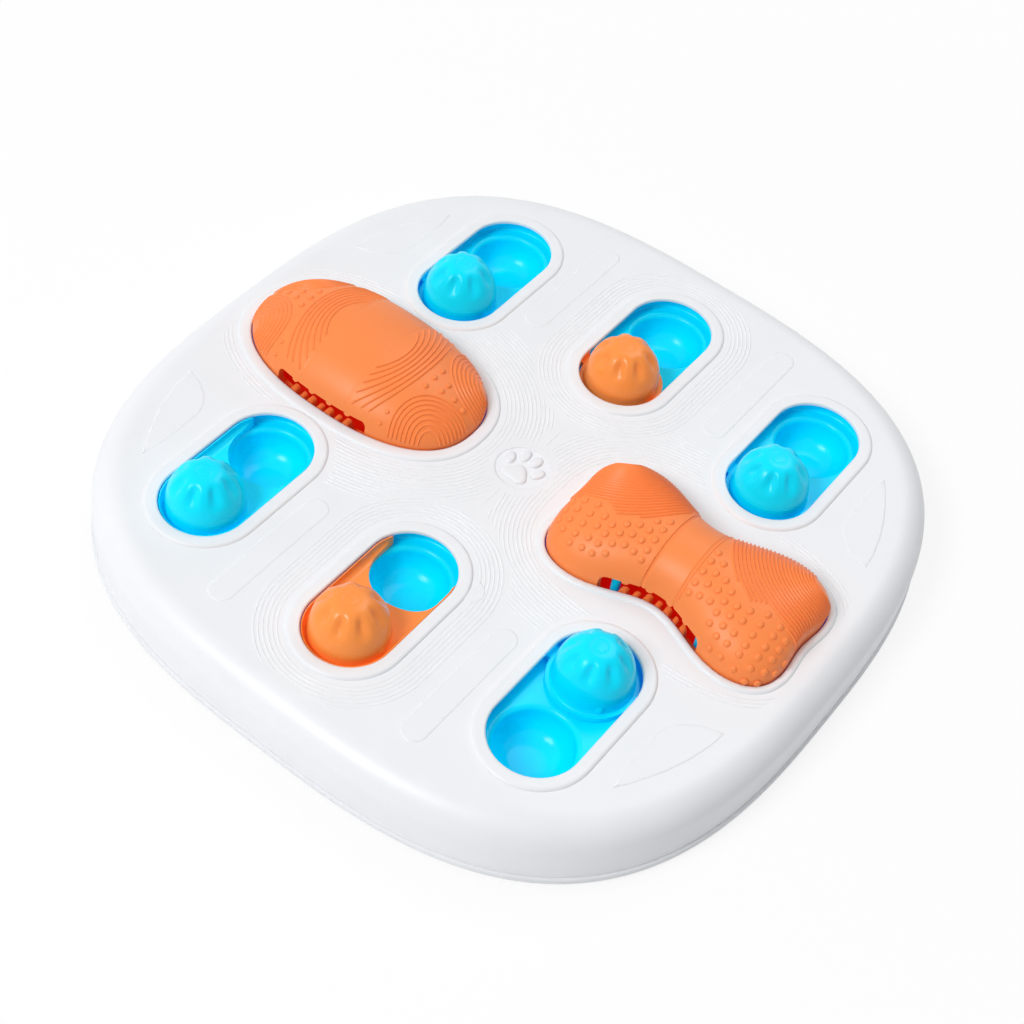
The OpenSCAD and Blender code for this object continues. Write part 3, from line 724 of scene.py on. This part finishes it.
# %% Knobs
KNOB_Z, FOOT, FLANK = 26.5, 3.2, 15.7  # where a knob stands, its upright foot and the flank's height
KNOB_R, TOP_Z, WELL_R, PIN_R = 15.3, 20.4, 12.9, 1.3  # foot, button, hollow and screw hole
SCOOPS, SCOOP_TURN, SCOOP_DEPTH = 8, 18, 1.55  # how many, the turn of the first in degrees, and mm


def smooth_step(t, low, high):
    t = np.clip((t - low) / (high - low), 0, 1)
    return t * t * (3 - 2 * t)


def knob_mesh(name, count=160):
    a = turns(count)
    wave = np.abs(((np.degrees(a) - SCOOP_TURN) * SCOOPS / 360 + 0.5) % 1 - 0.5) * 2  # 0 in a scoop, 1 between
    skin = Skin()
    flank_end, corner, crown_end = np.array([(9.94, 17.33), (7.31, 20.3), (3.6, 20.37)])
    profile = [(WELL_R, 0.0), (16.0, 0.0), (15.8, 0.15), (15.55, 0.5), (15.4, 1.1), (15.32, 2.0), (KNOB_R, FOOT)]
    arc_r = 21.31
    for t in np.linspace(0.02, 0.9, 40):
        inset = 0.07 if 0.12 < t % 0.09 / 0.09 < 0.4 and t < 0.3 else 0.0  # faint rings low on the flank
        profile.append((KNOB_R - arc_r + math.sqrt(arc_r ** 2 - (FLANK * t) ** 2) - inset, FOOT + FLANK * t))
    for t in np.linspace(0.1, 1, 10):
        profile.append(tuple((1 - t) ** 2 * flank_end + 2 * t * (1 - t) * corner + t * t * crown_end))
    rings = []
    for r, z in profile:
        share = np.cos(np.clip(wave / np.interp(z, (12, 19), (0.84, 0.76)), 0, 1) * np.pi / 2) ** 2
        depth = SCOOP_DEPTH * smooth_step(z, 10.8, 16.8) * (1 - smooth_step(z, 17.0, 20.3)) * share
        boss = 0.55 * smooth_step(1 - np.hypot(KNOB_R * np.sin(a), z - 2.2) / 2.1, 0, 0.6) * (np.cos(a) > 0)
        out = r - 0.8 * depth + boss
        rings.append(np.stack([out * np.cos(a), out * np.sin(a), z - 0.6 * depth], 1))
    for r, z in ((3.3, 20.38), (3.08, 20.24), (2.9, 20.22), (2.72, 20.36), (2.55, TOP_Z), (0.4, TOP_Z)):
        k = r * (1 + 0.045 * np.cos(SCOOPS * a) * (r > 2))
        rings.append(np.stack([k * np.cos(a), k * np.sin(a), np.full(count, z)], 1))
    skin.loft(rings)
    skin.fill([circle(0, 0, 0.4, count)], TOP_Z)
    hollow = [(WELL_R, 0.0), (WELL_R, FOOT), (11.6, 8.0), (9.6, 12.5), (6.6, 16.3), (3.4, 17.6)]
    pillar = [(3.4, 17.6), (3.4, 0.0), (PIN_R, 0.0), (PIN_R, 9.0)]
    for chain in (hollow, pillar):
        made = [skin.ring(at(circle(0, 0, r, count), z)) for r, z in chain]
        for low, high in zip(made, made[1:]):
            skin.band(high, low)
    skin.fill([circle(0, 0, PIN_R, count)], 9.0, up=False)
    skin.points = [(x, y, z + KNOB_Z) for x, y, z in skin.points]
    return skin.mesh(name, 50)


print("knob in mm:", 2 * KNOB_R, "wide,", TOP_Z, "high")

# %% Six knobs
LIDS = ("front_left", "front_middle")
BODY = {n: ("lift_lid_" if n in LIDS else "slider_") + n for n in SLOTS}
knob_shapes = {c: knob_mesh("knob_" + c) for c in ("blue", "orange")}
for name, (x, y, end) in SLOTS.items():
    colour = "orange" if x == 0 else "blue"
    dress("knob_" + name + "_skin", knob_shapes[colour], "piece_" + colour, BODY[name],
          ["knob_" + name], (x, y + end * HALF_RUN), -45 if name == "front_right" else 0)

# %% [markdown]
# The sliding plates keep their CAD shape, and a bevel rounds their edges. A lid is a dish that fills its
# slot: a plate, a hollow curve round it and an upright edge. A notch is cut out of it round the open cup.

# %% Plates
def soften(piece, width):
    """Rounds the sharp edges of a piece."""
    soft = piece.modifiers.new("soft_edges", "BEVEL")
    soft.limit_method, soft.angle_limit = "ANGLE", math.radians(50)
    soft.width, soft.segments = width * MM, 3
    return soft


for name in nodes:
    if name.startswith("runner_"):
        soften(nodes[name], 0.7).harden_normals = True
        print(name, "bevelled")


# %% Lids
def cut_away(mesh, finish, tools):
    """A mesh with the solids of other meshes taken out; each cut face gets the finish of its tool."""
    mesh.materials.append(FINISH[finish])
    piece = link("being_cut", mesh)
    for tool_mesh, tool_finish in tools:
        tool_mesh.materials.append(FINISH[tool_finish])
        tool = link("cutter", tool_mesh)
        step = piece.modifiers.new("cut", "BOOLEAN")
        step.operation, step.solver, step.material_mode, step.object = "DIFFERENCE", "EXACT", "TRANSFER", tool
        bpy.context.view_layer.update()
        done = bpy.data.meshes.new_from_object(piece.evaluated_get(bpy.context.evaluated_depsgraph_get()))
        piece.modifiers.clear()
        piece.data = done
        bpy.data.objects.remove(tool)
    bpy.data.objects.remove(piece)
    done.polygons.foreach_set("use_smooth", [True] * len(done.polygons))
    done.set_sharp_from_angle(angle=math.radians(40))
    return done


LID_R, LID_Z, DISH_R, DISH_BEND = 17.75, 24.3, 14.2, 2.8  # outside, underside, flat of the dish, its bend
NOTCH_R, NOTCH_MORE, NOTCH_END = 15.4, 1.3, 45.0
lid_edge = [(17.2, LID_Z), (17.6, 24.45), (LID_R, 24.8), (LID_R, 29.6), (17.62, 29.85), (17.4, 29.95),
            (17.15, 29.85), (17.0, 29.5)]
lid_edge += [(DISH_R + DISH_BEND * math.cos(t), KNOB_Z + DISH_BEND * (1 - math.sin(t)))
             for t in np.linspace(0.0, math.pi / 2, 9)]
sweep = np.linspace(-np.pi, 0, 49)
reach = NOTCH_R + NOTCH_MORE * smooth_step(sweep, -1.4, -0.5)  # the notch is wider on the right
notch = np.stack([reach * np.cos(sweep), HALF_RUN + reach * np.sin(sweep)], 1)
notch = np.vstack([notch, [(NOTCH_R + NOTCH_MORE, NOTCH_END), (-NOTCH_R, NOTCH_END)]])
for name in LIDS:
    dish, tool = Skin(), Skin()
    dish.loft([at(stadium(0, 0, r), z) for r, z in lid_edge])
    dish.fill([stadium(0, 0, DISH_R)], KNOB_Z)
    dish.fill([stadium(0, 0, 17.2)], LID_Z, up=False)
    tool.loft([at(notch, 20.0), at(notch, 34.0)])
    tool.fill([notch], 34.0)
    tool.fill([notch], 20.0, up=False)
    slot = node_slot["lid_" + name]
    lid = cut_away(dish.mesh("lid_" + name + "_dish"), slot, [(tool.mesh("notch"), slot)])
    lid = dress("lid_" + name + "_skin", lid, slot, BODY[name], ["lid_" + name], SLOTS[name][:2])
    soften(lid, 0.5)
    lid.modifiers.move(1, 0)  # the bevel comes before the even shading

# %% [markdown]
# ## Base and feet
# The base pan closes the bottom. Its lip shows as a thin line under the cover's wall. From below it
# has four round seats for rubber feet and eight sunk holes with screws.

# %% Base pan
BASE_Z, FOOT_PLACE = 1.0, 99.9
FEET = [(sx * FOOT_PLACE, sy * FOOT_PLACE) for sx, sy in CORNERS]
SCREWS = [(sx * px, sy * py) for px, py in ((114.0, FOOT_PLACE), (39.4, 44.23)) for sx, sy in CORNERS]
base = Skin()
lip = [(148.8, BASE_Z), (149.5, 1.15), (149.9, 1.5), (150.0, 2.0), (150.0, 3.2), (149.85, 3.7), (149.4, 3.95),
       (148.8, 4.0), (146.5, 4.0), (146.5, 9.8), (146.3, 10.0), (144.5, 10.0), (144.3, 9.8), (144.3, 4.0)]
base.loft([at(board(s), z) for s, z in lip])
base.fill([board(144.3)], 4.0)
sunk = [circle(x, y, 8.5) for x, y in FEET] + [circle(x, y, 3.4, 32) for x, y in SCREWS]
base.fill([board(148.8)] + sunk, BASE_Z, up=False)
for (x, y), r, depth, count in [(p, 8.2, 1.2, 48) for p in FEET] + [(p, 3.1, 2.2, 32) for p in SCREWS]:
    steps = [(r + 0.3, BASE_Z), (r + 0.08, 1.1), (r, 1.3), (r, BASE_Z + depth)]
    made = [base.ring(at(circle(x, y, k, count), z)) for k, z in steps]
    for low, high in zip(made, made[1:]):
        base.band(high, low)
    base.fill([circle(x, y, r, count)], BASE_Z + depth, up=False)
dress("base", base.mesh("base"), "base_white", "board", ["base_pan"])

# %% Feet
def lathe(skin, x, y, profile, count=48):
    """A solid of revolution about a vertical axis; the profile runs from its bottom middle to its top."""
    made = skin.loft([at(circle(x, y, r, count), z) for r, z in profile])
    skin.faces += [tuple(reversed(made[0])), tuple(made[-1])]


feet = Skin()
sole = [(0.2, 0.35), (2.2, 0.35), (2.6, 0.0), (4.0, 0.0), (4.4, 0.4), (5.0, 0.4), (5.4, 0.0), (7.0, 0.0),
        (7.6, 0.12), (7.95, 0.5), (8.0, 1.0), (8.0, 2.2), (0.2, 2.2)]
for x, y in FEET:
    lathe(feet, x, y, sole)
dress("feet", feet.mesh("feet"), "foot_rubber", "board", ["rubber_feet"])

# %% Screw heads
HEAD_Z, SOCKET_Z, SCREW_TOP = 1.4, 2.4, 14.4  # face of a screw head, the bottom of its cross, the tip
screw = [(2.2, HEAD_Z), (2.6, 1.55), (2.8, 1.9), (2.8, 3.2), (1.4, 3.2), (1.4, 14.0), (1.0, SCREW_TOP),
         (0.1, SCREW_TOP)]
heads = Skin()
cross = np.array([(0.35, 0.35), (0.35, 1.5), (-0.35, 1.5), (-0.35, 0.35), (-1.5, 0.35), (-1.5, -0.35),
                  (-0.35, -0.35), (-0.35, -1.5), (0.35, -1.5), (0.35, -0.35), (1.5, -0.35), (1.5, 0.35)])
for x, y in SCREWS:
    heads.fill([circle(x, y, 2.2, 32), cross + [x, y]], HEAD_Z, up=False)
    heads.loft([at(circle(x, y, r, 32), z) for r, z in screw])
    heads.fill([circle(x, y, 0.1, 32)], SCREW_TOP)
    mouth, bottom = (heads.ring(at(cross + [x, y], z)) for z in (HEAD_Z, SOCKET_Z))
    heads.band(bottom, mouth)
    heads.fill([cross + [x, y]], SOCKET_Z, up=False)
dress("base_screw_heads", heads.mesh("base_screw_heads"), "steel", "board", ["base_screws"])

# %% [markdown]
# ## Rubber toys
# Each toy is a hollow rubber shell with a toothed slit in its front. The outside is a grid of elliptical
# cross-sections with a flat underside. The hollow and the slit are cut out with exact Booleans, and the
# hollow's faces get painted shade: the rubber made darker and redder, lifted by a painted glow. Round
# pegs stand in the slit, one under each tooth and a lower one between.

# %% Toy skin
TOY_H, TOY_G, HOLLOW_G = 20.0, -0.35, -3.3  # half-height, and how far outside and hollow lie within the outline
TOY_LOW, HOLLOW_LOW = -17.7, -15.1  # flat undersides, below the middle of the toy
BONE_DROP = 3.0  # how much lower the bone is at its ends
SEAMS = {"oval": ((-11.3, 0.12), (11.3, 0.12)), "bone": ((-7.9, 0.45), (6.3, 0.45))}  # place and depth


def toy_half_sizes(kind, x, g):
    """Half-width and half-height of a toy at x along it, with its skin moved by g."""
    length, width, power = TOY_SHAPE[kind]
    u = np.clip(x / (length + g), -1, 1)
    end = np.clip(1 - np.abs(u) ** power, 0, 1) ** (1 / power)
    if kind == "oval":
        return end * (width + g), np.sqrt(np.clip(1 - u * u, 0, 1)) * (TOY_H + g)
    return end * (width + g - bone_waist(u)), end * (TOY_H + g - BONE_DROP * u * u)


def toy_skin(kind, g, low_z, count=104, steps=120):
    """Closed skin of a toy or its hollow. The outside has a fine groove at each seam."""
    skin = Skin()
    length, _, power = TOY_SHAPE[kind]
    length += g
    x = length * rounded(np.linspace(np.pi, 0, steps + 1), power)[1:-1, 0]
    groove = np.zeros(len(x))
    if g == TOY_G:
        close = np.array([-0.9, -0.5, -0.2, 0.2, 0.5, 0.9])
        x = np.sort(np.concatenate([x] + [s + close for s, _ in SEAMS[kind]]))
        groove = sum(depth * np.exp(-(((x - s) / 0.45) ** 2)) for s, depth in SEAMS[kind])
    a = turns(count)
    wide, high = toy_half_sizes(kind, x, g)
    dent = bone_dent if kind == "bone" else lambda u, y: 0 * y
    rings = []
    for p, w, h, cut in zip(x, wide, high, groove):
        y = (w - cut) * np.cos(a)
        z = np.maximum((h - cut) * np.sin(a), low_z)
        rings.append(skin.ring(np.stack([p - dent(p / length, y), y, RIM_Z + z], 1)))
    for low, high_ring in zip(rings, rings[1:]):
        skin.band(low, high_ring)
    tip = length - dent(1.0, 0.0)
    first, last = skin.ring([(-tip, 0, RIM_Z)])[0], skin.ring([(tip, 0, RIM_Z)])[0]
    for i in range(count):
        j = (i + 1) % count
        skin.faces.append((first, rings[0][j], rings[0][i]))
        skin.faces.append((last, rings[-1][i], rings[-1][j]))
    return skin


for kind in TOY_X:
    print(kind, "half-width and half-height:", np.round(toy_half_sizes(kind, 0.0, TOY_G), 1).tolist())


# %% Slit
def slit_outline():
    """Slit seen from the front: rounded upper corners, four teeth above, and pegs under and between them."""
    half_w, bend, top, low, step = 22.5, 2.5, 4.8, -6.0, 4.5
    tooth, sunk = 1.6, 0.55  # a tooth's radius, and how far its middle lies above the slit
    tooth_end = math.acos(sunk / tooth)
    quarter = np.linspace(0, math.pi / 2, 7)
    marks = [(half_w, low)]
    marks += [(half_w - bend * (1 - math.cos(t)), top - bend * (1 - math.sin(t))) for t in quarter]
    for k in (3, 1, -1, -3):
        marks += [(step * k + tooth * math.sin(t), top + sunk - tooth * math.cos(t))
                  for t in np.linspace(tooth_end, -tooth_end, 9)]
    marks += [(-half_w + bend * (1 - math.sin(t)), top - bend * (1 - math.cos(t))) for t in quarter]
    marks += [(-half_w, low)]
    for k in range(-3, 4):
        x, r, z = step * k, *((1.5, -1.2) if k % 2 else (1.2, -1.9))  # every second peg is lower
        marks += [(x - r, low)]
        marks += [(x - r * math.cos(t), z + r * math.sin(t)) for t in np.linspace(0, math.pi, 11)]
        marks += [(x + r, low)]
    return np.array(marks)


slit = slit_outline()
cutter = Skin()
front, rear = (cutter.ring([(x, y, RIM_Z + z) for x, z in slit]) for y in (-48.0, -2.0))
cutter.band(rear, front)
for k in tessellate_polygon([[Vector((x, z, 0)) for x, z in slit]]):
    (ax, az), (bx, bz) = slit[k[1]] - slit[k[0]], slit[k[2]] - slit[k[0]]
    k = k if ax * bz - az * bx > 0 else k[::-1]  # seen from the front, each triangle turns left
    cutter.faces.append(tuple(front[i] for i in k))
    cutter.faces.append(tuple(rear[i] for i in reversed(k)))
print("slit in mm:", np.ptp(slit, axis=0).round(1).tolist())

# %% Toy shells
for kind, x in TOY_X.items():
    outside = toy_skin(kind, TOY_G, TOY_LOW).mesh(kind + "_toy_shell")
    hollow = toy_skin(kind, HOLLOW_G, HOLLOW_LOW, 72, 70).mesh(kind + "_hollow")
    # the hollow's faces take the painted shade of the rubber
    shell = cut_away(outside, "toy_rubber", [(hollow, "toy_painted_shade"), (cutter.mesh("slit"), "toy_rubber")])
    dress(kind + "_toy_shell", shell, "toy_rubber", kind + "_toy", [kind + "_upper", kind + "_lower"], (x, 0))

# %% [markdown]
# Blue shows at both ends of the bone's slit. Two small blue posts stand there inside the bone. Each one
# grows out of the wall, so that nothing shows below the bone when it is lifted.

# %% Posts in the bone
posts = Skin()
post = [(0.1, 21.4), (1.6, 21.4), (1.9, 22.6), (1.9, 33.6), (1.6, 34.6), (0.9, 35.1), (0.1, 35.2)]
for x in (-18.2, 20.4):
    lathe(posts, x, -20.3, post, 28)
dress("bone_toy_posts", posts.mesh("bone_toy_posts"), "tray_blue", "bone_toy", (), (TOY_X["bone"], 0))

# %% [markdown]
# Ridges and dots give the rubber its grip. They lie on the toy's surface: a point in plan is lifted to
# the skin, and the skin's slope there gives the direction in which the strip or dot stands up.

# %% Places on a toy's skin
def drawn_out(kind, p):
    """Where points lay along a toy before its ends were drawn in."""
    x = p[:, 0]
    for _ in range(3 if kind == "bone" else 0):
        x = p[:, 0] + bone_dent(x / (TOY_SHAPE[kind][0] + TOY_G), p[:, 1])
    return x


def skin_level(kind, p):
    """1 on a toy's skin, less inside it and more outside."""
    wide, high = toy_half_sizes(kind, drawn_out(kind, p), TOY_G)
    return (p[:, 1] / np.maximum(wide, 0.01)) ** 2 + (p[:, 2] / np.maximum(high, 0.01)) ** 2


def on_skin(kind, p):
    """Points of a toy's upper skin over plan points, the skin's normals there, and whether each is on it."""
    wide, high = toy_half_sizes(kind, drawn_out(kind, p), TOY_G)
    v = np.clip(p[:, 1] / np.maximum(wide, 0.01), -0.996, 0.996)
    inside = (np.abs(p[:, 1]) < 0.996 * wide) & (wide > 1.5)
    spots = np.column_stack([p, high * np.sqrt(1 - v * v)])
    up = np.column_stack([skin_level(kind, spots + s) - skin_level(kind, spots - s) for s in 0.02 * np.eye(3)])
    up /= np.maximum(np.linalg.norm(up, axis=1), 1e-9)[:, None]
    return spots + [0, 0, RIM_Z], up, inside


top_spot = on_skin("oval", np.zeros((1, 2)))[0][0]
print("top of the oval in mm:", top_spot.round(2).tolist())


# %% Grip lines and dots
DOT = ((1.0, -0.2), (0.96, 0.25), (0.8, 0.62), (0.52, 0.88), (0.2, 0.99))  # shares of radius and height


def skin_lines(skin, kind, path, keep, width=1.0, height=0.5):
    """Strips along the kept stretches of a path in plan, but not across the slit."""
    spots, up, inside = on_skin(kind, path)
    over_slit = (np.abs(path[:, 0]) < 25) & (path[:, 1] < 0) & (spots[:, 2] < RIM_Z + 8.5)
    both = np.column_stack([spots, up])
    for run, whole in kept_runs(both, keep & inside & ~over_slit):
        strip(skin, run[:, :3], run[:, 3:], whole, width, height)


def skin_dots(skin, kind, marks, r, height=0.8):
    """Round dots that stand square to the skin."""
    spots, up, _ = on_skin(kind, np.array(marks, float))
    t = turns(16)
    for spot, n in zip(spots, up):
        side = np.cross(n, [0.0, 1.0, 0.0])
        side /= np.linalg.norm(side)
        other = np.cross(n, side)
        round_it = np.outer(np.cos(t), side) + np.outer(np.sin(t), other)
        made = skin.loft([spot + r * k * round_it + n * h * height for k, h in DOT])
        skin.faces += [tuple(reversed(made[0])), tuple(made[-1])]


print("rings in a dot:", len(DOT))

# %% Oval texture
grip = Skin()
for sx in (-1, 1):
    for k in range(7):  # ripples from the middle band outwards, each flatter than the last
        r, reach = 20.1 + 4.1 * k + 0.22 * k * k, 17.75 + 1.79 * k
        path = circle(sx * (reach - r), 1.0, r, 700)
        skin_lines(grip, "oval", path, sx * path[:, 0] > 12.6)
    for cx, cy, widest in ((47.5, -19.5, 17.2), (50.0, 23.0, 21.0)):
        for k in range(8):  # rings at the ends, kept beyond the last ripple
            path = circle(sx * cx, cy, widest - 1.75 * k, 500)
            skin_lines(grip, "oval", path, np.hypot(sx * path[:, 0] - (reach - r), path[:, 1] - 1.0) > r + 1.6)
    skin_dots(grip, "oval", [(sx * px, py) for px, py in (
        (32.3, 6.0), (32.3, 0.8), (32.3, -4.7), (38.0, 2.8), (38.0, -1.5), (43.3, 0.1), (48.0, 0.0))], 1.3)
    skin_dots(grip, "oval", [(sx * 27.5, -22.0), (sx * 27.1, -26.0)], 1.0, 0.6)
dress("oval_toy_grip", grip.mesh("oval_toy_grip", 60), "toy_rubber", "oval_toy", (), (TOY_X["oval"], 0))

# %% Bone texture
# Dots in columns, by the place of the column along the bone, and those near the edge of the right half.
COLUMNS = {9.3: (1.1, -3.7, -8.7, -13.2, -16.6), 13.6: (-1.8, -6.8, -11.6, -16.2), 18.1: (-7, -11.6, -16.2),
           22.5: (-9.5, -13.8, -18.3, -22), 27.3: (-12.7, -16.8, -20.8, -24.3),
           32.1: (-11.2, -15.8, -20.8, -24.5), 37.9: (-8, -12.8, -17.4, -21.6, -24.9),
           43.9: (-8.4, -12.8, -17.6, -21.6), 48.3: (-10.3, -14.3, -18.4)}
EDGE_DOTS = [(27.3, -27.5), (32.5, -28.1), (38.7, -28.4), (43.8, -25.4), (44.2, -28), (48.5, -22.5),
             (51.2, -18.8), (48.2, -25.4), (51.8, -13.8)]
DOT_R = 1.5
grip = Skin()
skin_dots(grip, "bone", EDGE_DOTS, DOT_R)
for sx in (-1, 1):
    shift = -0.8 if sx < 0 else 0.0  # the rings of the left half lie a little further left
    for k in range(22):
        path = circle(sx * 46.7 + shift, 26.7, 39.8 - 1.55 * k, 700)
        away = sx * (path[:, 0] - shift)
        dots_end = np.interp(away, (8.5, 29.2, 35.8, 49.6), (4.0, -9.1, -4.5, -7.8))
        skin_lines(grip, "bone", path, (away > 9.0) & (path[:, 1] > dots_end), 1.0, 0.65)
    spread = {px: px if sx > 0 else -12.4 - 0.925 * (px - 9.3) for px in COLUMNS}
    skin_dots(grip, "bone", [(spread[px], py) for px, ys in COLUMNS.items() for py in ys], DOT_R)
for x in (-8.7, 7.1):  # a thin line beside each seam
    path = np.stack([np.full(400, x), np.linspace(-22, 22, 400)], 1)
    skin_lines(grip, "bone", path, np.abs(path[:, 1]) < 22, 0.7, 0.3)
dress("bone_toy_grip", grip.mesh("bone_toy_grip", 60), "toy_rubber", "bone_toy", (), (TOY_X["bone"], 0))

# %% [markdown]
# ## Size
# The dressed model must keep the size of the CAD model. The box round the shown pieces is printed.

# %% Size
low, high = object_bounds()
print("visual box in mm:", [round(x / MM, 2) for x in high - low])
